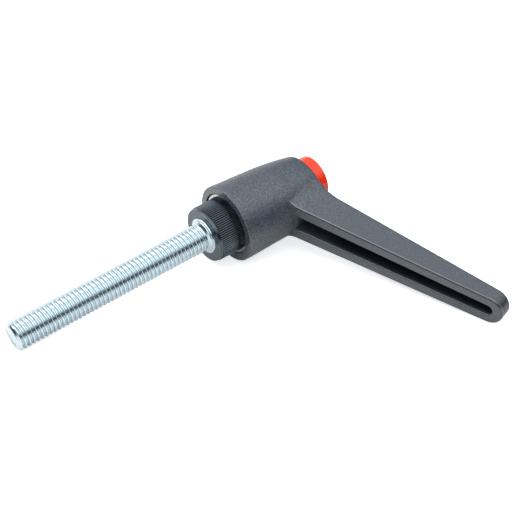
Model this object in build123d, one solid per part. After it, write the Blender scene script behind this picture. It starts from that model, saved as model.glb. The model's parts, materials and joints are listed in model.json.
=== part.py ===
from build123d import *
from math import sin, cos, tan, atan, radians, pi, sqrt, hypot
import os

# Adjustable clamping lever with release button, M8 x 60 threaded stud.
#
# Every piece is drawn upright first: the stud axis is local Z, the seat (the
# sleeve's end face) is local z = 0, the stud points to -Z, the button is on
# top and the arm reaches towards +X.  At the end every piece is moved by one
# rigid placement, so the lever lies on its side as it comes to rest: on the
# stud's end, the hub's lower rim and the arm's tip.

# ------------------------------------------------------------ driving sizes
STUD_R = 4.0             # M8 major radius
STUD_LEN = 60.0          # seat to stud end
STUD_CHAMFER = 0.7
COLLAR_R = 5.2
COLLAR_PROUD = 0.3       # collar stands out of the sleeve's end face
COLLAR_DEEP = 0.8
RUNOUT_R = 4.55          # low step between collar and thread
RUNOUT_LEN = 0.75
STUD_HEAD_R = 5.0        # head held inside the sleeve
STUD_HEAD_TOP = 17.0

SLEEVE_TOP = 19.9
TEETH = 84
TOOTH_CREST_R = 7.98
TOOTH_ROOT_R = 7.60
SLEEVE_LAND_R = 7.85     # plain land at the sleeve's end
SLEEVE_LAND = 0.45
SLEEVE_CHAMFER = 0.2
SLEEVE_WEB_HOLE_R = 2.7

HUB_Z0 = 7.4             # hub end face
HUB_TOP = 34.9
HUB_SIDE = [(7.4, 11.13, 0.10), (10.0, 11.06, 0.26), (13.0, 10.87, 0.44), (16.0, 10.69, 0.58), (19.0, 10.50, 0.76),
            (22.0, 10.31, 0.98), (25.0, 10.02, 1.18), (28.0, 9.64, 1.25), (31.0, 9.20, 1.25), (34.9, 8.44, 1.20)]
            # height, radius, how far the section is stretched towards the arm
HUB_ROUND_TOP = 1.0
HUB_ROUND_LOW = 0.28
MOUTH_R = 9.1
MOUTH_DEPTH = 1.1
POCKET_R = 8.75          # seat of the serration ring
WEB_LOW = 20.4
WEB_TOP = 22.4
WEB_HOLE_R = 3.3
BUTTON_BORE_R = 6.9

RING_Z0 = 7.8
RING_TOP = 20.3
RING_BORE_R = 8.08
RING_TEETH_Z = 17.3      # internal teeth from here to the ring's top
MESH_GAP = 0.10

BUTTON_R = 6.7
BUTTON_TOP = 39.1
BUTTON_LOW = 27.5
BUTTON_CAVITY_R = 5.2
BUTTON_CEILING = 35.1
BUTTON_EDGE = 0.45
CLIP_GROOVE_R = 5.6
PRESS_TRAVEL = 3.0

SCREW_HEAD_R = 3.9
SCREW_HEAD_Z = 32.0
SCREW_HEAD_H = 3.0
SCREW_SHANK_R = 2.5
SCREW_THREAD_R = 2.0
SCREW_END = 8.0

SPRING_WIRE_R = 0.45
SPRING_MEAN_R = 4.0
SPRING_TURNS = 4.5
SPRING_LOW = 22.9
SPRING_TOP = 31.0

# arm: half width, underside and top as straight lines in x
ARM_TIP_R = 4.32         # plan radius of the tip
ARM_TIP_CX = 65.55       # its centre
ARM_TAPER = 0.02446      # half-width growth per mm towards the hub
ARM_UNDER_Z, ARM_UNDER_X, ARM_UNDER_K = 24.72, 15.8, 0.35438
ARM_TOP_Z, ARM_TOP_X, ARM_TOP_K = 35.50, 15.8, 0.24184
ARM_END_LEAN = 1.4       # the tip's end face leans back by this much at the top
ARM_ROUND_TOP = 1.0
ARM_TOP_BLEND = 18.0     # concave radius where the arm's top meets the hub's top
ARM_ROUND_LOW = 0.60
# plan fillet between hub and arm sides: (height, radius)
WING = [(18.0, 3.5), (22.5, 4.7), (27.0, 9.5), (32.0, 13.0), (37.0, 14.0)]
WING_SINK = 0.008        # the wing starts this much inside the hub's side
SLOT_HALF = 2.445        # at ARM_UNDER_X
SLOT_TAPER = 0.01666
SLOT_END_CX = 65.35
SLOT_ROOF = 2.1          # wall left above the pocket
SLOT_EDGE = 0.35

# placement: the lever as it lies
LIE_PITCH = 6.1082      # stud axis above the floor, degrees
LIE_ROLL = 9.3242       # arm's dip about the stud axis, degrees
SEAT_X, SEAT_Y, SEAT_Z = 5.4730, 28.8627, 10.2871


def hub_at(z):
    """Hub radius and stretch towards the arm at height z, between the listed sections."""
    p = HUB_SIDE
    for (z0, r0, s0), (z1, r1, s1) in zip(p, p[1:]):
        if z <= z1:
            k = (z - z0) / (z1 - z0)
            return r0 + (r1 - r0) * k, s0 + (s1 - s0) * k
    (z0, r0, s0), (z1, r1, s1) = p[-2:]
    return r1 + (r1 - r0) * (z - z1) / (z1 - z0), s1


def tube(z0, z1, r_out, r_in=0.0):
    s = Pos(0, 0, z0) * extrude(Circle(r_out), z1 - z0)
    if r_in:
        s -= Pos(0, 0, z0 - 0.01) * extrude(Circle(r_in), z1 - z0 + 0.02)
    return s


def spun(points):
    """Solid of revolution about Z from (r, z) corners."""
    return revolve(Plane.XZ * make_face(Polyline(*[(r, z) for r, z in points], close=True)), Axis.Z)


def toothed(r_crest, r_root, n):
    pts = []
    for i in range(n):
        a = 2 * pi * i / n
        b = 2 * pi * (i + 0.5) / n
        pts.append((r_crest * cos(a), r_crest * sin(a)))
        pts.append((r_root * cos(b), r_root * sin(b)))
    return make_face(Polyline(*pts, close=True))


# ------------------------------------------------------------------- hub
def hub_section(z, r, stretch):
    """Circle about the stud axis, stretched towards the arm with tangent sides."""
    return Pos(0, 0, z) * Wire([
        ThreePointArc((0, r), (-r, 0), (0, -r)), Line((0, -r), (stretch, -r)),
        ThreePointArc((stretch, -r), (stretch + r, 0), (stretch, r)), Line((stretch, r), (0, r))])


def make_hub():
    hub = Part() + Solid.make_loft([hub_section(z, r, w) for z, r, w in HUB_SIDE], ruled=False)
    top = [e for e in hub.edges() if abs(e.center().Z - HUB_TOP) < 1e-3]
    hub = fillet(top, HUB_ROUND_TOP)
    low = [e for e in hub.edges() if abs(e.center().Z - HUB_Z0) < 1e-3]
    hub = fillet(low, HUB_ROUND_LOW)
    hub -= spun([(0, HUB_TOP + 1), (BUTTON_BORE_R + 0.2, HUB_TOP + 1), (BUTTON_BORE_R + 0.2, HUB_TOP),
                 (BUTTON_BORE_R, HUB_TOP - 0.2), (BUTTON_BORE_R, WEB_TOP), (WEB_HOLE_R, WEB_TOP),
                 (WEB_HOLE_R, WEB_LOW), (POCKET_R, WEB_LOW), (POCKET_R, HUB_Z0 + MOUTH_DEPTH),
                 (MOUTH_R, HUB_Z0 + MOUTH_DEPTH), (MOUTH_R, HUB_Z0 + 0.12), (MOUTH_R + 0.12, HUB_Z0),
                 (MOUTH_R + 0.12, HUB_Z0 - 1), (0, HUB_Z0 - 1)])
    return hub


# ------------------------------------------------------------------- arm
def under_z(x):
    return ARM_UNDER_Z + ARM_UNDER_K * (x - ARM_UNDER_X)


def top_blend():
    """Where the arm's sloping top meets the hub's flat top, and the blend's reach each way."""
    corner = ARM_TOP_X + (HUB_TOP - ARM_TOP_Z) / ARM_TOP_K
    return corner, ARM_TOP_BLEND * tan(atan(ARM_TOP_K) / 2)


def top_z(x):
    corner, reach = top_blend()
    xb = corner + reach * cos(atan(ARM_TOP_K))
    if x <= corner - reach:
        return HUB_TOP
    if x >= xb:
        return ARM_TOP_Z + ARM_TOP_K * (x - ARM_TOP_X)
    dx = x - (corner - reach)
    return HUB_TOP + ARM_TOP_BLEND - sqrt(ARM_TOP_BLEND ** 2 - dx * dx)


def tapered_plan(cx, r, taper, x0):
    """Plan outline: a long tapering strip with a tangent round end at cx."""
    a = atan(taper)
    tx, ty = cx + r * sin(a), r * cos(a)
    y0 = ty + taper * (tx - x0)
    line1 = Line((x0, -y0), (tx, -ty))
    arc = ThreePointArc((tx, -ty), (cx + r, 0), (tx, ty))
    line2 = Line((tx, ty), (x0, y0))
    line3 = Line((x0, y0), (x0, -y0))
    return make_face(Curve() + [line1, arc, line2, line3])


def arm_half(x):
    a = atan(ARM_TAPER)
    return ARM_TIP_R * cos(a) + ARM_TAPER * (ARM_TIP_CX + ARM_TIP_R * sin(a) - x)


def side_band(extra_low=0.0, extra_top=0.0, x0=2.0, x1=80.0, y=20.0):
    """Prism between the arm's underside and its top, seen from the side."""
    corner, reach = top_blend()
    xa, xb = corner - reach, corner + reach * cos(atan(ARM_TOP_K))
    xm = (xa + xb) / 2
    t = lambda x: (x, top_z(x) + extra_top)
    low0, low1 = (x0, under_z(x0) - extra_low), (x1, under_z(x1) - extra_low)
    outline = [Line(low0, low1), Line(low1, t(x1)), Line(t(x1), t(xb)), ThreePointArc(t(xb), t(xm), t(xa)),
               Line(t(xa), t(x0)), Line(t(x0), low0)]
    return extrude(Plane.XZ * make_face(Curve() + outline), y, both=True)


def arm_lean():
    """How far the arm's plan moves back per mm of height, and the height it is drawn at."""
    h_tip = top_z(ARM_TIP_CX) - under_z(ARM_TIP_CX)
    return ARM_END_LEAN / h_tip, under_z(ARM_TIP_CX + ARM_TIP_R)


def make_arm():
    plan = tapered_plan(ARM_TIP_CX, ARM_TIP_R, ARM_TAPER, 4.0)
    lean, z_ref = arm_lean()
    z0, z1 = 14.0, 56.0
    low = Pos(-lean * (z0 - z_ref), 0, z0) * plan
    arm = extrude(low, amount=(z1 - z0) * sqrt(1 + lean * lean), dir=(-lean, 0, 1))
    arm &= side_band(x0=3.0)
    for face_z, radius in ((top_z, ARM_ROUND_TOP), (under_z, ARM_ROUND_LOW)):
        rim = [e for e in arm.edges()
               if e.center().X > 12 and abs(e.center().Z - face_z(e.center().X)) < 0.03]
        arm = fillet(rim, radius)
    return arm


def wing_section(z, wing):
    """Plan section at height z: a concave arc of radius wing from the hub's side to the arm's side."""
    r, shift = hub_at(z)
    r -= WING_SINK
    a = atan(ARM_TAPER)
    lean, z_ref = arm_lean()
    d = (ARM_TIP_CX - lean * (z - z_ref) - shift) * sin(a) + ARM_TIP_R - 0.03
    run = sqrt((r + wing) ** 2 - (d + wing) ** 2)
    u, v = (cos(a), -sin(a)), (sin(a), cos(a))
    cx, cy = run * u[0] + (d + wing) * v[0], run * u[1] + (d + wing) * v[1]
    k = r / (r + wing)
    t1 = (cx * k, cy * k)
    t2 = (run * u[0] + d * v[0], run * u[1] + d * v[1])
    mx, my = (t1[0] + t2[0]) / 2 - cx, (t1[1] + t2[1]) / 2 - cy
    m = hypot(mx, my)
    t1, mid, t2 = [(x + shift, y) for x, y in (t1, (cx + wing * mx / m, cy + wing * my / m), t2)]
    inner = 4.0
    lo = lambda p: (p[0], -p[1])
    return Pos(0, 0, z) * Wire([
        Line((inner, -t1[1]), lo(t1)), ThreePointArc(lo(t1), lo(mid), lo(t2)),
        Line(lo(t2), t2), ThreePointArc(t2, mid, t1), Line(t1, (inner, t1[1])),
        Line((inner, t1[1]), (inner, -t1[1])),
    ])


def make_wings():
    w = side_band(x0=1.0) & Solid.make_loft([wing_section(z, wing) for z, wing in WING], ruled=False)
    for face_z, radius in ((top_z, ARM_ROUND_TOP), (under_z, ARM_ROUND_LOW)):
        arcs = [e for e in w.edges() if e.center().X > 5.2 and abs(e.center().Y) > 4.0
                and abs(e.center().Z - face_z(e.center().X)) < 0.05]
        w = fillet(arcs, radius)
    return w


def make_slot():
    a = SLOT_TAPER
    r_end = SLOT_HALF - a * (SLOT_END_CX - ARM_UNDER_X)
    plan = tapered_plan(SLOT_END_CX, r_end, a, 9.0)
    slot = Pos(0, 0, 10) * extrude(plan, 60)
    slot &= side_band(extra_low=3.0, extra_top=-SLOT_ROOF, x0=5.0)
    return slot


def make_lever():
    body = make_arm() + make_wings()
    body -= make_slot()
    mouth = [e for e in body.edges()
             if e.center().X > 20 and abs(e.center().Y) < 3.2
             and abs(e.center().Z - under_z(e.center().X)) < 0.02]
    body = fillet(mouth, SLOT_EDGE)
    # the hub's own wall closes the pocket; what would stand inside its bore is cut away
    body -= tube(0, 60, BUTTON_BORE_R + 0.6)
    body -= spun([(0, 0), (POCKET_R + 0.5, 0), (POCKET_R + 0.5, WEB_LOW), (0, WEB_LOW)])
    hub = make_hub()
    return hub + body


# -------------------------------------------------------- stud and sleeve
def make_stud():
    zl = -COLLAR_PROUD
    pts = [(0, -STUD_LEN), (STUD_R - STUD_CHAMFER, -STUD_LEN), (STUD_R, -STUD_LEN + STUD_CHAMFER),
           (STUD_R, zl - RUNOUT_LEN), (RUNOUT_R, zl - 0.35), (RUNOUT_R, zl), (COLLAR_R - 0.15, zl), (COLLAR_R, zl + 0.15),
           (COLLAR_R, COLLAR_DEEP), (STUD_HEAD_R, COLLAR_DEEP), (STUD_HEAD_R, STUD_HEAD_TOP - 0.5),
           (STUD_HEAD_R - 0.5, STUD_HEAD_TOP), (SCREW_THREAD_R, STUD_HEAD_TOP),
           (SCREW_THREAD_R, 5.5), (0, 4.4)]
    return spun(pts)


def make_sleeve():
    plain = spun([(SLEEVE_LAND_R - SLEEVE_CHAMFER, 0), (SLEEVE_LAND_R, SLEEVE_CHAMFER),
                  (SLEEVE_LAND_R, SLEEVE_LAND), (0, SLEEVE_LAND), (0, 0)])
    body = plain + Pos(0, 0, SLEEVE_LAND) * extrude(toothed(TOOTH_CREST_R, TOOTH_ROOT_R, TEETH),
                                                    SLEEVE_TOP - SLEEVE_LAND)
    body -= tube(-1, COLLAR_DEEP, COLLAR_R)
    body -= tube(-1, STUD_HEAD_TOP, STUD_HEAD_R)
    body -= tube(-1, SLEEVE_TOP + 1, SLEEVE_WEB_HOLE_R)
    return body


def make_ring():
    ring = tube(RING_Z0, RING_TOP, POCKET_R, RING_BORE_R)
    teeth = tube(RING_TEETH_Z, RING_TOP, RING_BORE_R + 0.2)
    teeth -= Pos(0, 0, RING_TEETH_Z - 1) * extrude(
        toothed(TOOTH_CREST_R + MESH_GAP, TOOTH_ROOT_R + MESH_GAP, TEETH), 10)
    return ring + teeth


# ------------------------------------------------------------ button train
def make_button():
    b = spun([(0, BUTTON_CEILING), (BUTTON_CAVITY_R, BUTTON_CEILING), (BUTTON_CAVITY_R, 31.0),
              (CLIP_GROOVE_R, 31.0), (CLIP_GROOVE_R, 30.3), (BUTTON_CAVITY_R, 30.3),
              (BUTTON_CAVITY_R, BUTTON_LOW + 0.3), (BUTTON_CAVITY_R + 0.3, BUTTON_LOW),
              (BUTTON_R - 0.2, BUTTON_LOW), (BUTTON_R, BUTTON_LOW + 0.2),
              (BUTTON_R, BUTTON_TOP), (0, BUTTON_TOP)])
    rim = [e for e in b.edges().filter_by(GeomType.CIRCLE)
           if abs(e.center().Z - BUTTON_TOP) < 1e-3 and abs(e.radius - BUTTON_R) < 1e-3]
    return fillet(rim, BUTTON_EDGE)


def make_screw():
    s = spun([(0, SCREW_END), (SCREW_THREAD_R - 0.4, SCREW_END), (SCREW_THREAD_R, SCREW_END + 0.4),
              (SCREW_THREAD_R, STUD_HEAD_TOP), (SCREW_SHANK_R, STUD_HEAD_TOP),
              (SCREW_SHANK_R, SCREW_HEAD_Z), (SCREW_HEAD_R, SCREW_HEAD_Z),
              (SCREW_HEAD_R, SCREW_HEAD_Z + SCREW_HEAD_H - 0.3),
              (SCREW_HEAD_R - 0.3, SCREW_HEAD_Z + SCREW_HEAD_H), (0, SCREW_HEAD_Z + SCREW_HEAD_H)])
    socket = Pos(0, 0, SCREW_HEAD_Z + 1.2) * extrude(RegularPolygon(1.5, 6, major_radius=False), 3)
    return s - socket


def make_spring():
    z0 = SPRING_LOW + SPRING_WIRE_R + 0.01
    z1 = SPRING_TOP - SPRING_WIRE_R - 0.01
    pitch = (z1 - z0) / SPRING_TURNS
    path = Helix(pitch, z1 - z0, SPRING_MEAN_R, center=(0, 0, z0))
    section = Plane(path @ 0, z_dir=path % 0) * Circle(SPRING_WIRE_R)
    return sweep(section, path=path, is_frenet=True)


def make_clip():
    c = tube(30.4, 31.0, CLIP_GROOVE_R, 4.75)
    gap = Pos(-5.2, 0, 30.7) * Box(1.6, 2.6, 2.0)
    return c - gap


# --------------------------------------------------------------- placement
th, ro = radians(LIE_PITCH), radians(LIE_ROLL)
up = Vector(-sin(ro) * cos(th), -cos(ro) * cos(th), sin(th))      # world up, in local axes
wx = (Vector(0, 0, 1) - up * sin(th)).normalized()                # world +X, in local axes
wy = up.cross(wx)                                                 # world +Y, in local axes
LIE = Plane(origin=(SEAT_X, SEAT_Y, SEAT_Z), x_dir=(wx.X, wy.X, up.X), z_dir=(wx.Z, wy.Z, up.Z)).location

PIECES = {
    "lever_body": make_lever,
    "serration_ring": make_ring,
    "spring_washer": lambda: tube(WEB_TOP, SPRING_LOW, 6.1, 3.0),
    "serrated_sleeve": make_sleeve,
    "threaded_stud": make_stud,
    "stop_washer": lambda: tube(SLEEVE_TOP, WEB_LOW, 6.6, 2.75),
    "retaining_screw": make_screw,
    "push_button": make_button,
    "spring_seat": lambda: tube(SPRING_TOP, SCREW_HEAD_Z, BUTTON_CAVITY_R, 2.6),
    "button_clip": make_clip,
    "return_spring": make_spring,
}


def main():
    os.makedirs("parts", exist_ok=True)
    for name, make in PIECES.items():
        piece = make()
        solids = piece.solids()
        piece = solids[0] if len(solids) == 1 else Compound(children=list(solids))
        piece = LIE * piece
        print(name, "solids", len(solids), "volume", round(piece.volume, 2), "valid", piece.is_valid)
        export_step(piece, f"parts/{name}.step")


if __name__ == "__main__":
    main()
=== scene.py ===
import json
import math

import bmesh
import bpy
import numpy as np
from mathutils import Matrix, Vector

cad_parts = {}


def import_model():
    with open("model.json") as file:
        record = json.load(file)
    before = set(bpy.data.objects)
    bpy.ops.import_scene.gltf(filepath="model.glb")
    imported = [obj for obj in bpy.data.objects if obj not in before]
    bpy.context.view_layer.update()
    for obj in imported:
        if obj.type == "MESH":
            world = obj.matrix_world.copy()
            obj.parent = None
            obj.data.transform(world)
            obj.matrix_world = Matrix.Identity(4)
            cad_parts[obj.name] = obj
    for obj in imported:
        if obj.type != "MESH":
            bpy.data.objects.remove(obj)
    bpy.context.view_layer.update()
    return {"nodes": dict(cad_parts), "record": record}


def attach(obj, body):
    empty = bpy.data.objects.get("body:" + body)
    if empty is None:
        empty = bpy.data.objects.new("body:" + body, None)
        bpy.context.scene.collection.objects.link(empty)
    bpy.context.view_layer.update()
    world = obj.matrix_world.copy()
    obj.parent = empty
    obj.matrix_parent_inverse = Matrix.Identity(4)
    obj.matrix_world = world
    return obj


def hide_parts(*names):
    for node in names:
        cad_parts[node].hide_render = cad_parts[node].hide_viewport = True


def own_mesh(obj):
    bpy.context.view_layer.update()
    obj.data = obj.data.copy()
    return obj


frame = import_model()
scene = bpy.context.scene
record = frame["record"]
MM = 0.001

# ------------------------------------------------------------------ local frame
# Local axes of the lever: Z along the stud towards the button, the seat at z = 0,
# the arm towards +X.  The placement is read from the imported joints.
swivel = [j for j in record["behaviour"]["joints"] if j["name"] == "stud_swivel"][0]
LZ = Vector(swivel["axis"]).normalized()
SEAT = Vector(swivel["pos_m"])
ROLL = math.radians(9.3242)                      # the arm's dip about the stud axis
pitch = math.asin(LZ.z)
UP = np.array([-math.sin(ROLL) * math.cos(pitch), -math.cos(ROLL) * math.cos(pitch), math.sin(pitch)])
WX = np.array([0.0, 0.0, 1.0]) - UP * math.sin(pitch)
WX /= np.linalg.norm(WX)
WY = np.cross(UP, WX)
M = np.array([WX, WY, UP])                      # rows: world axes in local coordinates
SEAT_NP = np.array(SEAT)
LX = Vector(M[:, 0])                            # the arm's direction in world axes
LY = Vector(M[:, 1])
UNDER_K = 0.35438                               # slope of the arm's underside
UNDER = (LZ - UNDER_K * LX).normalized()        # its inward normal
PLACE = Matrix([list(M[0]) + [SEAT.x], list(M[1]) + [SEAT.y], list(M[2]) + [SEAT.z], [0, 0, 0, 1]])


# ------------------------------------------------------------------ camera
# Photograph's view: camera axes (right, down, forward) in the lever's local axes.
CAM_R = np.array([[0.6187, -0.0252, 0.7852],
                  [0.5797, 0.6892, -0.4346],
                  [-0.5302, 0.7241, 0.4411]])
u_, _, v_ = np.linalg.svd(CAM_R)
CAM_R = u_ @ v_
CAM_T = np.array([-1.793, -0.703, 43.132]) * 7.9 * MM
FOCAL_PX = 1251.3

right, down, fwd = (M @ CAM_R[i] for i in range(3))
cam_pos = SEAT_NP + M @ (-CAM_R.T @ CAM_T)
cam_data = bpy.data.cameras.new("camera")
cam_data.sensor_width = 36.0
cam_data.lens = FOCAL_PX / 512.0 * 36.0
cam_data.clip_start = 0.01
cam_data.clip_end = 50.0
cam = bpy.data.objects.new("camera", cam_data)
scene.collection.objects.link(cam)
mw = Matrix.Identity(4)
for i in range(3):
    mw[i][0] = right[i]
    mw[i][1] = -down[i]
    mw[i][2] = -fwd[i]
    mw[i][3] = cam_pos[i]
cam.matrix_world = mw
scene.camera = cam


# ------------------------------------------------------------------ helpers
def new_object(name, verts, faces, smooth=True):
    mesh = bpy.data.meshes.new(name)
    mesh.from_pydata([tuple(v) for v in verts], [], faces)
    mesh.update()
    ob = bpy.data.objects.new(name, mesh)
    scene.collection.objects.link(ob)
    if smooth:
        mesh.shade_smooth()
    return ob


def to_world(ob):
    ob.data.transform(PLACE)
    ob.data.update()


def sharp_by_angle(ob, degrees):
    ob.data.shade_smooth()
    ob.data.set_sharp_from_angle(angle=math.radians(degrees))


def tree(name):
    mat = bpy.data.materials.new(name)
    mat.use_nodes = True
    nt = mat.node_tree
    nt.nodes.clear()
    out = nt.nodes.new("ShaderNodeOutputMaterial")
    bsdf = nt.nodes.new("ShaderNodeBsdfPrincipled")
    nt.links.new(bsdf.outputs["BSDF"], out.inputs["Surface"])
    co = nt.nodes.new("ShaderNodeTexCoord")
    return mat, nt, bsdf, co.outputs["Object"]


def noise(nt, co, scale, detail=3.0, rough=0.55):
    n = nt.nodes.new("ShaderNodeTexNoise")
    n.inputs["Scale"].default_value = scale
    n.inputs["Detail"].default_value = detail
    n.inputs["Roughness"].default_value = rough
    nt.links.new(co, n.inputs["Vector"])
    return n.outputs["Fac"]


def ramp(nt, fac, stops):
    r = nt.nodes.new("ShaderNodeValToRGB")
    el = r.color_ramp.elements
    while len(el) < len(stops):
        el.new(0.5)
    for e, (p, c) in zip(el, stops):
        e.position = p
        e.color = (c[0], c[1], c[2], 1.0) if isinstance(c, (tuple, list)) else (c, c, c, 1.0)
    nt.links.new(fac, r.inputs["Fac"])
    return r.outputs["Color"]


def bump(nt, height, strength, distance):
    b = nt.nodes.new("ShaderNodeBump")
    b.inputs["Strength"].default_value = strength
    b.inputs["Distance"].default_value = distance
    nt.links.new(height, b.inputs["Height"])
    return b


def put(ob, mat):
    if ob.data.materials:
        for i in range(len(ob.data.materials)):
            ob.data.materials[i] = mat
    else:
        ob.data.materials.append(mat)


# ------------------------------------------------------------------ materials
def along(nt, co, axis, lo, hi):
    """0 up to lo and 1 from hi on (metres), measured from the seat along one of the lever's axes."""
    d = nt.nodes.new("ShaderNodeVectorMath")
    d.operation = "DOT_PRODUCT"
    d.inputs[1].default_value = axis
    nt.links.new(co, d.inputs[0])
    m = nt.nodes.new("ShaderNodeMapRange")
    base = SEAT.dot(axis)
    m.inputs["From Min"].default_value = base + lo
    m.inputs["From Max"].default_value = base + hi
    nt.links.new(d.outputs["Value"], m.inputs["Value"])
    return m.outputs["Result"]


def fade(nt, value, keep):
    """Draws a value towards one half, leaving the share keep of its contrast."""
    m = nt.nodes.new("ShaderNodeMath")
    m.operation = "MULTIPLY_ADD"
    m.inputs[1].default_value = keep
    m.inputs[2].default_value = 0.5 * (1.0 - keep)
    nt.links.new(value, m.inputs[0])
    return m.outputs[0]


def blend(nt, fac, a, b):
    """a where fac is 0, b where fac is 1; a and b are sockets or numbers."""
    m = nt.nodes.new("ShaderNodeMix")
    m.data_type = "FLOAT"
    nt.links.new(fac, m.inputs["Factor"])
    for key, v in (("A", a), ("B", b)):
        if isinstance(v, float):
            m.inputs[key].default_value = v
        else:
            nt.links.new(v, m.inputs[key])
    return m.outputs["Result"]


def tilt(nt, axis):
    """How far the surface's normal points along axis: 1 when straight along it."""
    tc = nt.nodes.new("ShaderNodeTexCoord")
    d = nt.nodes.new("ShaderNodeVectorMath")
    d.operation = "DOT_PRODUCT"
    d.inputs[1].default_value = axis
    nt.links.new(tc.outputs["Normal"], d.inputs[0])
    return d.outputs["Value"]


def step(nt, value, lo, hi):
    """0 at lo and 1 at hi; lo may be the larger one."""
    m = nt.nodes.new("ShaderNodeMapRange")
    if lo < hi:
        m.inputs["From Min"].default_value, m.inputs["From Max"].default_value = lo, hi
    else:
        m.inputs["From Min"].default_value, m.inputs["From Max"].default_value = hi, lo
        m.inputs["To Min"].default_value, m.inputs["To Max"].default_value = 1.0, 0.0
    nt.links.new(value, m.inputs["Value"])
    return m.outputs["Result"]


def product(nt, a, b):
    m = nt.nodes.new("ShaderNodeMath")
    m.operation = "MULTIPLY"
    nt.links.new(a, m.inputs[0])
    nt.links.new(b, m.inputs[1])
    return m.outputs[0]


def across(nt, co, axis):
    """Distance from the lever's middle plane, in metres."""
    d = nt.nodes.new("ShaderNodeVectorMath")
    d.operation = "DOT_PRODUCT"
    d.inputs[1].default_value = axis
    nt.links.new(co, d.inputs[0])
    m = nt.nodes.new("ShaderNodeMath")
    m.operation = "SUBTRACT"
    m.inputs[1].default_value = SEAT.dot(axis)
    nt.links.new(d.outputs["Value"], m.inputs[0])
    a = nt.nodes.new("ShaderNodeMath")
    a.operation = "ABSOLUTE"
    nt.links.new(m.outputs[0], a.inputs[0])
    return a.outputs[0]


def under(nt, co, lo, hi):
    """0 up to lo and 1 from hi above the arm's sloping underside, in metres."""
    base = (0.02472 - UNDER_K * 0.0158) / math.sqrt(1.0 + UNDER_K ** 2)
    return along(nt, co, UNDER, base + lo, base + hi)


def mix_colour(nt, fac, a, b):
    """a where fac is 0, b where fac is 1; a and b are sockets or colours."""
    m = nt.nodes.new("ShaderNodeMix")
    m.data_type = "RGBA"
    nt.links.new(fac, m.inputs["Factor"])
    for key, v in (("A", a), ("B", b)):
        if isinstance(v, tuple):
            m.inputs[key].default_value = v + (1.0,)
        else:
            nt.links.new(v, m.inputs[key])
    return m.outputs["Result"]


def from_axis(nt, co):
    """Distance from the stud's axis, in metres."""
    d = nt.nodes.new("ShaderNodeVectorMath")
    d.operation = "SUBTRACT"
    d.inputs[1].default_value = SEAT
    nt.links.new(co, d.inputs[0])
    c = nt.nodes.new("ShaderNodeVectorMath")
    c.operation = "CROSS_PRODUCT"
    c.inputs[1].default_value = LZ
    nt.links.new(d.outputs["Vector"], c.inputs[0])
    l = nt.nodes.new("ShaderNodeVectorMath")
    l.operation = "LENGTH"
    nt.links.new(c.outputs["Vector"], l.inputs[0])
    return l.outputs["Value"]


def mat_plastic():
    mat, nt, b, co = tree("glass_filled_plastic")
    face = along(nt, co, -LZ, -0.00752, -0.00742)           # the hub's flat end face
    grain = noise(nt, co, 2600.0, 2.0, 0.6)
    spots = noise(nt, co, 900.0, 3.0, 0.6)
    arm = along(nt, co, LX, 0.010, 0.024)
    # the arm's moulded edges, between its flanks and its underside, come out of the mould glossier
    facing = tilt(nt, -UNDER)
    rim = product(nt, under(nt, co, -0.00020, -0.00010), step(nt, under(nt, co, 0.0007, 0.0011), 1.0, 0.0))
    root = product(nt, rim, along(nt, co, LX, 0.0066, 0.0082))
    edge = product(nt, product(nt, step(nt, facing, 0.24, 0.42), step(nt, facing, 0.975, 0.92)), root)
    # painted highlight: a lighter band painted along the same edges, standing in for the reflection on their rounding
    painted_edge_highlight = product(nt, product(nt, step(nt, facing, 0.20, 0.34), step(nt, facing, 0.60, 0.44)), root)
    # painted shade: in the arm's slot the base colour is painted near black, standing in for the shade there
    pocket_painted_shade = product(nt, product(nt, step(nt, across(nt, co, LY), 0.0034, 0.0030), arm), under(nt, co, 0.0006, 0.0012))
    # the grain is coarser to the eye on the hub than on the arm
    level = blend(nt, arm, grain, fade(nt, grain, 0.45))
    shade = ramp(nt, level, [(0.34, (0.005, 0.009, 0.017)), (0.50, (0.027, 0.037, 0.052)),
                             (0.66, (0.078, 0.097, 0.124))])
    # paints the slot's shade into the base colour
    shade = mix_colour(nt, pocket_painted_shade, shade, (0.004, 0.007, 0.013))
    # painted shade: a dark line is painted along the same edges, just below the painted edge highlight
    painted_dark_edge_line = product(nt, product(nt, step(nt, facing, 0.50, 0.64), step(nt, facing, 0.992, 0.965)), root)
    # paints the edge highlight into the base colour
    shade = mix_colour(nt, painted_edge_highlight, shade, (0.098, 0.115, 0.138))
    # paints the dark edge line into the base colour
    nt.links.new(mix_colour(nt, painted_dark_edge_line, shade, (0.003, 0.005, 0.008)), b.inputs["Base Color"])
    dull = blend(nt, face, ramp(nt, spots, [(0.3, 0.40), (0.7, 0.48)]), 0.24)
    nt.links.new(blend(nt, edge, dull, 0.07), b.inputs["Roughness"])
    b.inputs["Specular IOR Level"].default_value = 1.0
    fine = bump(nt, level, 0.5, 0.00007)
    nt.links.new(fine.outputs["Normal"], b.inputs["Normal"])
    return mat


def mat_sleeve():
    mat, nt, b, co = tree("black_oxide_steel")
    g = noise(nt, co, 1800.0, 3.0, 0.6)
    plain = ramp(nt, g, [(0.3, (0.072, 0.087, 0.102)), (0.7, (0.092, 0.109, 0.125))])
    # painted light and shade: the tops of the teeth are painted brighter as a highlight, the grooves between them
    # painted black as shade
    crest_painted_highlight = step(nt, from_axis(nt, co), 0.00782, 0.00794)
    # painted highlight colour on the tooth tops, painted shade colour in the grooves
    teeth = mix_colour(nt, crest_painted_highlight, (0.028, 0.037, 0.047), (0.128, 0.152, 0.176))
    nt.links.new(mix_colour(nt, along(nt, co, LZ, 0.00082, 0.00100), plain, teeth), b.inputs["Base Color"])
    nt.links.new(ramp(nt, g, [(0.3, 0.20), (0.7, 0.28)]), b.inputs["Roughness"])
    b.inputs["Metallic"].default_value = 1.0
    fine = bump(nt, g, 0.3, 0.00003)
    nt.links.new(fine.outputs["Normal"], b.inputs["Normal"])
    return mat


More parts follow.
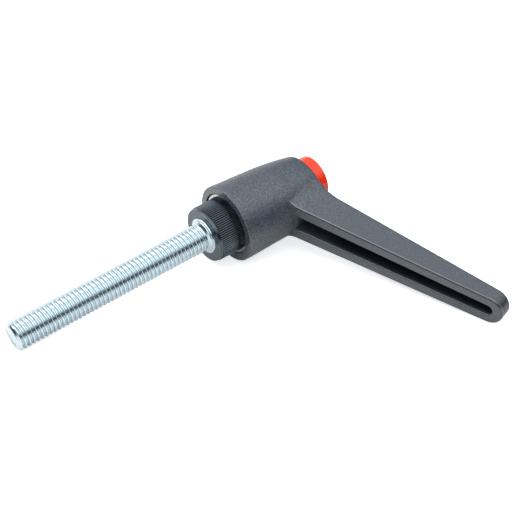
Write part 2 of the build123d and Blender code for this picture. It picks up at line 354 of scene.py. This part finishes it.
def mat_zinc():
    mat, nt, b, co = tree("blue_white_zinc")
    g = noise(nt, co, 1500.0, 3.0, 0.5)
    nt.links.new(ramp(nt, g, [(0.3, (0.53, 0.62, 0.66)), (0.7, (0.59, 0.68, 0.72))]), b.inputs["Base Color"])
    nt.links.new(ramp(nt, g, [(0.3, 0.20), (0.7, 0.25)]), b.inputs["Roughness"])
    b.inputs["Metallic"].default_value = 1.0
    return mat


def mat_insert():
    mat, nt, b, co = tree("bright_insert")
    g = noise(nt, co, 1500.0, 3.0, 0.5)
    nt.links.new(ramp(nt, g, [(0.3, (0.42, 0.43, 0.45)), (0.7, (0.50, 0.51, 0.52))]), b.inputs["Base Color"])
    nt.links.new(ramp(nt, g, [(0.3, 0.10), (0.7, 0.16)]), b.inputs["Roughness"])
    b.inputs["Metallic"].default_value = 1.0
    return mat


def mat_button():
    mat, nt, b, co = tree("orange_button")
    g = noise(nt, co, 1600.0, 3.0, 0.6)
    nt.links.new(ramp(nt, g, [(0.3, (0.84, 0.034, 0.006)), (0.7, (0.92, 0.046, 0.009))]), b.inputs["Base Color"])
    nt.links.new(ramp(nt, g, [(0.3, 0.08), (0.7, 0.12)]), b.inputs["Roughness"])
    b.inputs["Specular IOR Level"].default_value = 0.38
    fine = bump(nt, g, 0.08, 0.00002)
    nt.links.new(fine.outputs["Normal"], b.inputs["Normal"])
    return mat


def mat_steel():
    mat, nt, b, co = tree("inner_steel")
    g = noise(nt, co, 1200.0, 3.0, 0.5)
    nt.links.new(ramp(nt, g, [(0.3, (0.42, 0.43, 0.45)), (0.7, (0.56, 0.57, 0.58))]), b.inputs["Base Color"])
    nt.links.new(ramp(nt, g, [(0.3, 0.28), (0.7, 0.40)]), b.inputs["Roughness"])
    b.inputs["Metallic"].default_value = 1.0
    return mat


PLASTIC, SLEEVE, ZINC, INSERT, BUTTON, STEEL = (
    mat_plastic(), mat_sleeve(), mat_zinc(), mat_insert(), mat_button(), mat_steel())

nodes = frame["nodes"]
put(nodes["lever_body"], PLASTIC)
put(nodes["serration_ring"], INSERT)
put(nodes["push_button"], BUTTON)
for n in ("spring_washer", "stop_washer", "retaining_screw", "spring_seat", "button_clip", "return_spring"):
    put(nodes[n], STEEL)


# ------------------------------------------------------------------ threaded stud
STUD_R, STUD_LEN, PITCH = 4.0, 60.0, 1.25
ROOT_R = 3.27
END_CHAMFER = 0.75
N_COL = 72
# one pitch of the rolled thread: (share of the pitch, radius)
PROFILE = [(0.00, 3.34), (0.06, 3.36), (0.12, 3.44), (0.19, 3.59), (0.26, 3.76), (0.33, 3.90), (0.41, 3.98),
           (0.50, 4.0), (0.59, 3.98), (0.67, 3.90), (0.74, 3.76), (0.81, 3.59), (0.88, 3.44), (0.94, 3.36)]


def make_thread():
    z_lo, z_hi = -STUD_LEN, -1.02
    turns = int((z_hi - z_lo) / PITCH) + 4
    rows = []
    for k in range(turns):
        for s, r in PROFILE:
            rows.append((z_lo - 2 * PITCH + (k + s) * PITCH, r))
    npf = len(PROFILE)
    verts, faces = [], []
    for z0, r0 in rows:
        for j in range(N_COL):
            a = 2 * math.pi * j / N_COL
            z = z0 + PITCH * j / N_COL
            r = r0
            r = min(r, 3.18 + 1.05 * max(0.0, z - z_lo))            # end chamfer
            fade = min(1.0, max(0.0, (z - (z_hi - 1.6)) / 1.6))     # thread runs out at the collar
            r = r + (3.55 - r) * fade if r > 3.55 else r + (3.55 - r) * fade
            verts.append((r * math.cos(a), r * math.sin(a), z))
    n_rows = len(rows)
    for k in range(n_rows - npf):
        for j in range(N_COL):
            a0 = k * N_COL + j
            b0 = (k + 1) * N_COL + j
            if j < N_COL - 1:
                faces.append((a0, a0 + 1, b0 + 1, b0))
            else:
                faces.append((a0, (k + npf) * N_COL, (k + npf + 1) * N_COL, b0) if k + npf + 1 < n_rows else
                             (a0, (k + npf) * N_COL, b0))
    ob = new_object("stud_thread", verts, faces)
    bm = bmesh.new()
    bm.from_mesh(ob.data)
    for z, keep_above in ((z_lo, True), (z_hi, False)):
        geom = bm.verts[:] + bm.edges[:] + bm.faces[:]
        bmesh.ops.bisect_plane(bm, geom=geom, plane_co=(0, 0, z), plane_no=(0, 0, 1), dist=1e-6,
                               clear_inner=keep_above, clear_outer=not keep_above)
        edge = [e for e in bm.edges if e.is_boundary and all(abs(v.co.z - z) < 1e-4 for v in e.verts)]
        bmesh.ops.holes_fill(bm, edges=edge, sides=0)
    loose = [v for v in bm.verts if not v.link_faces]
    bmesh.ops.delete(bm, geom=loose, context="VERTS")
    bmesh.ops.recalc_face_normals(bm, faces=bm.faces[:])
    bm.to_mesh(ob.data)
    bm.free()
    return ob


def revolve(name, pts, n=128):
    """Closed solid of revolution about local Z; pts are (r, z), first and last on the axis."""
    verts, faces, rings = [], [], []
    for r, z in pts:
        if r < 1e-9:
            rings.append([len(verts)])
            verts.append((0, 0, z))
        else:
            rings.append(list(range(len(verts), len(verts) + n)))
            verts += [(r * math.cos(2 * math.pi * j / n), r * math.sin(2 * math.pi * j / n), z) for j in range(n)]
    for a, b in zip(rings, rings[1:]):
        for j in range(n):
            k = (j + 1) % n
            if len(a) == 1 and len(b) == 1:
                continue
            if len(a) == 1:
                faces.append((a[0], b[j], b[k]))
            elif len(b) == 1:
                faces.append((a[j], b[0], a[k]))
            else:
                faces.append((a[j], b[j], b[k], a[k]))
    ob = new_object(name, verts, faces)
    bm = bmesh.new()
    bm.from_mesh(ob.data)
    bmesh.ops.recalc_face_normals(bm, faces=bm.faces[:])
    bm.to_mesh(ob.data)
    bm.free()
    return ob


def scale_to_m(ob):
    ob.data.transform(Matrix.Scale(MM, 4))


thread = make_thread()
thread.data.transform(Matrix.Scale(MM, 4))
sharp_by_angle(thread, 50)
to_world(thread)
put(thread, ZINC)
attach(thread, "clamp")

collar = revolve("stud_collar", [
    (0, -1.3), (3.5, -1.3), (3.95, -1.05), (4.25, -0.72), (4.5, -0.62), (4.55, -0.55), (4.55, -0.36), (4.62, -0.3),
    (5.0, -0.3), (5.12, -0.26), (5.17, -0.15), (5.19, 0.0), (5.19, 0.7), (5.1, 0.78), (4.98, 0.8), (4.98, 16.6), (4.5, 17.0),
    (0, 17.0)])
scale_to_m(collar)
sharp_by_angle(collar, 40)
to_world(collar)
put(collar, ZINC)
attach(collar, "clamp")
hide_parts("threaded_stud")


# ------------------------------------------------------------------ serrated sleeve
def make_sleeve():
    """84 pointed teeth along the sleeve, cut by a small chamfer at the visible end."""
    teeth, crest, top = 84, 7.97, 19.9
    # one pitch of the teeth: (share of the pitch, radius where they show, radius in the ring)
    share = [(0.0, 7.62, 7.50), (0.06, 7.625, 7.505), (0.311, 7.905, 7.80), (0.36, 7.94, 7.865), (0.4253, 7.962, 7.935),
             (0.5, crest, 7.955), (0.5747, 7.962, 7.935), (0.64, 7.94, 7.865), (0.689, 7.905, 7.80), (0.94, 7.625, 7.505)]
    ang, low, deep = [], [], []
    for t in range(teeth):
        for s, r, q in share:
            ang.append(2 * math.pi * (t + s - 0.5) / teeth)
            low.append(r)
            deep.append(q)
    n = len(ang)
    zs = [0.0, 0.05, 0.13, 0.20, 0.50, 0.80, 0.84, 0.90, 0.96, 1.02, 1.10, 3.0, 5.0, 7.0, 7.4, 12.0, 16.0, top - 0.4, top]
    verts, faces = [], []
    for z in zs:
        cap = min(7.64 + 0.6 * min(z, 0.2), 7.72) + max(0.0, z - 0.80) * 1.3
        end = crest - max(0.0, z - (top - 0.4)) * 0.5
        rad = low if z < 7.2 else deep
        for a, r in zip(ang, rad):
            q = min(max(r, 7.72) if z < 0.82 else r, cap, end)
            verts.append((q * math.cos(a), q * math.sin(a), z))
    for k in range(len(zs) - 1):
        for j in range(n):
            m = (j + 1) % n
            faces.append((k * n + j, k * n + m, (k + 1) * n + m, (k + 1) * n + j))
    # end faces, down to the bore
    def cap_ring(k, r_in, z):
        base = len(verts)
        for a in ang:
            verts.append((r_in * math.cos(a), r_in * math.sin(a), z))
        for j in range(n):
            m = (j + 1) % n
            faces.append((k * n + j, base + j, base + m, k * n + m))
        return base
    lo = cap_ring(0, 5.2, 0.0)
    hi = cap_ring(len(zs) - 1, 5.2, top)
    for j in range(n):
        m = (j + 1) % n
        faces.append((lo + j, hi + j, hi + m, lo + m))
    ob = new_object("sleeve_serrated", verts, faces)
    bm = bmesh.new()
    bm.from_mesh(ob.data)
    bmesh.ops.recalc_face_normals(bm, faces=bm.faces[:])
    bm.to_mesh(ob.data)
    bm.free()
    return ob


sleeve = make_sleeve()
scale_to_m(sleeve)
sharp_by_angle(sleeve, 28)
to_world(sleeve)
put(sleeve, SLEEVE)
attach(sleeve, "clamp")
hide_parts("serrated_sleeve")


# ------------------------------------------------------------------ floor, light
def floor_plane():
    """White table; a little glow of its own keeps the shadows on it faint."""
    ob = new_object("floor", [(-4, -0.12, 0), (4, -0.12, 0), (4, 4, 0), (-4, 4, 0)], [(0, 1, 2, 3)], smooth=False)
    mat, nt, b, co = tree("floor_paper")
    g = noise(nt, co, 40.0, 2.0, 0.5)
    nt.links.new(ramp(nt, g, [(0.3, 0.77), (0.7, 0.79)]), b.inputs["Base Color"])
    b.inputs["Roughness"].default_value = 0.9
    b.inputs["Specular IOR Level"].default_value = 0.2
    out = [n for n in nt.nodes if n.type == "OUTPUT_MATERIAL"][0]
    glow = nt.nodes.new("ShaderNodeEmission")
    glow.inputs["Color"].default_value = (1.0, 1.0, 1.0, 1.0)
    add = nt.nodes.new("ShaderNodeAddShader")
    lp = nt.nodes.new("ShaderNodeLightPath")
    lift = nt.nodes.new("ShaderNodeMath")
    lift.operation = "MULTIPLY_ADD"
    lift.inputs[1].default_value = FLOOR_LIFT
    lift.inputs[2].default_value = FLOOR_GLOW
    nt.links.new(lp.outputs["Is Camera Ray"], lift.inputs[0])
    nt.links.new(lift.outputs[0], glow.inputs["Strength"])
    nt.links.new(b.outputs["BSDF"], add.inputs[0])
    nt.links.new(glow.outputs[0], add.inputs[1])
    nt.links.new(add.outputs[0], out.inputs["Surface"])
    ob.data.materials.append(mat)
    return ob


FLOOR_GLOW, FLOOR_LIFT = 0.12, 0.56
floor_plane()


def area(name, direction, distance, size, power, color=(1, 1, 1), size_y=None):
    l = bpy.data.lights.new(name, "AREA")
    l.energy = power
    l.color = color
    l.shape = "RECTANGLE" if size_y else "SQUARE"
    l.size = size
    if size_y:
        l.size_y = size_y
    o = bpy.data.objects.new(name, l)
    aim = Vector((0.0, 0.0, 0.01))
    pos = aim + Vector(direction).normalized() * distance
    o.location = pos
    o.rotation_euler = (aim - pos).to_track_quat("-Z", "Y").to_euler()
    scene.collection.objects.link(o)
    return o


area("top_softbox", (0.05, 0.10, 1.0), 1.3, 2.0, 3.5)
area("back_left_softbox", (-0.30, 0.45, 0.84), 1.1, 1.0, 5.5, (1.0, 0.99, 0.97))


def world():
    """Studio surroundings: bright overhead and behind on the left, dark low down in front."""
    w = bpy.data.worlds.new("studio")
    scene.world = w
    w.use_nodes = True
    nt = w.node_tree
    nt.nodes.clear()
    out = nt.nodes.new("ShaderNodeOutputWorld")
    bg = nt.nodes.new("ShaderNodeBackground")
    nt.links.new(bg.outputs["Background"], out.inputs["Surface"])
    co = nt.nodes.new("ShaderNodeTexCoord")
    sep = nt.nodes.new("ShaderNodeSeparateXYZ")
    nt.links.new(co.outputs["Generated"], sep.inputs[0])

    def smooth(value, lo, hi, to_lo, to_hi):
        m = nt.nodes.new("ShaderNodeMapRange")
        m.interpolation_type = "SMOOTHSTEP"
        m.inputs["From Min"].default_value = lo
        m.inputs["From Max"].default_value = hi
        m.inputs["To Min"].default_value = to_lo
        m.inputs["To Max"].default_value = to_hi
        nt.links.new(value, m.inputs["Value"])
        return m.outputs["Result"]

    def math_node(op, a, b):
        m = nt.nodes.new("ShaderNodeMath")
        m.operation = op
        for i, v in enumerate((a, b)):
            if isinstance(v, float):
                m.inputs[i].default_value = v
            else:
                nt.links.new(v, m.inputs[i])
        return m.outputs[0]

    def lobe(direction, lo, hi, strength):
        dot = nt.nodes.new("ShaderNodeVectorMath")
        dot.operation = "DOT_PRODUCT"
        dot.inputs[1].default_value = Vector(direction).normalized()
        nt.links.new(co.outputs["Generated"], dot.inputs[0])
        return smooth(dot.outputs["Value"], lo, hi, 0.0, strength)

    top = smooth(sep.outputs["Z"], 0.40, 0.74, 0.0, SKY_TOP)
    back = math_node("ADD", lobe((0.05, 1.00, -0.05), 0.58, 0.93, SKY_BACK), lobe((-0.45, 0.47, 0.76), 0.88, 0.97, SKY_LEFT))
    front = math_node("ADD", lobe((0.40, -0.45, 0.78), 0.78, 1.0, SKY_FRONT), lobe((-0.50, -0.45, 0.74), 0.80, 0.97, SKY_NEAR))
    level = math_node("ADD", math_node("ADD", math_node("ADD", top, back), front), SKY_LOW)
    tint = ramp(nt, smooth(level, 0.0, 1.0, 0.0, 1.0), [(0.0, (0.35, 0.65, 1.0)), (0.45, (0.78, 0.90, 1.0)), (1.0, (0.96, 0.98, 1.0))])
    scale = nt.nodes.new("ShaderNodeVectorMath")
    scale.operation = "SCALE"
    nt.links.new(tint, scale.inputs[0])
    nt.links.new(level, scale.inputs["Scale"])
    # what the camera sees past the floor is plain white paper
    lp = nt.nodes.new("ShaderNodeLightPath")
    see = nt.nodes.new("ShaderNodeMix")
    see.data_type = "RGBA"
    nt.links.new(lp.outputs["Is Camera Ray"], see.inputs["Factor"])
    nt.links.new(scale.outputs[0], see.inputs["A"])
    see.inputs["B"].default_value = (1.2, 1.2, 1.2, 1.0)
    nt.links.new(see.outputs["Result"], bg.inputs["Color"])
    bg.inputs["Strength"].default_value = 1.0


SKY_LOW, SKY_TOP, SKY_BACK, SKY_LEFT, SKY_FRONT, SKY_NEAR = 0.05, 0.85, 1.25, 1.20, 0.88, 1.40
world()
scene.view_settings.view_transform = "Standard"

# ------------------------------------------------------------------ the return spring
# the return spring gets a mesh of its own; in the lever it shortens as the button goes in, one end in the button's
# seat, the other on the washer
spring = frame["nodes"]["return_spring"]
bpy.context.view_layer.update()
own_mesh(spring)

# ------------------------------------------------------------------ final update
bpy.context.view_layer.update()
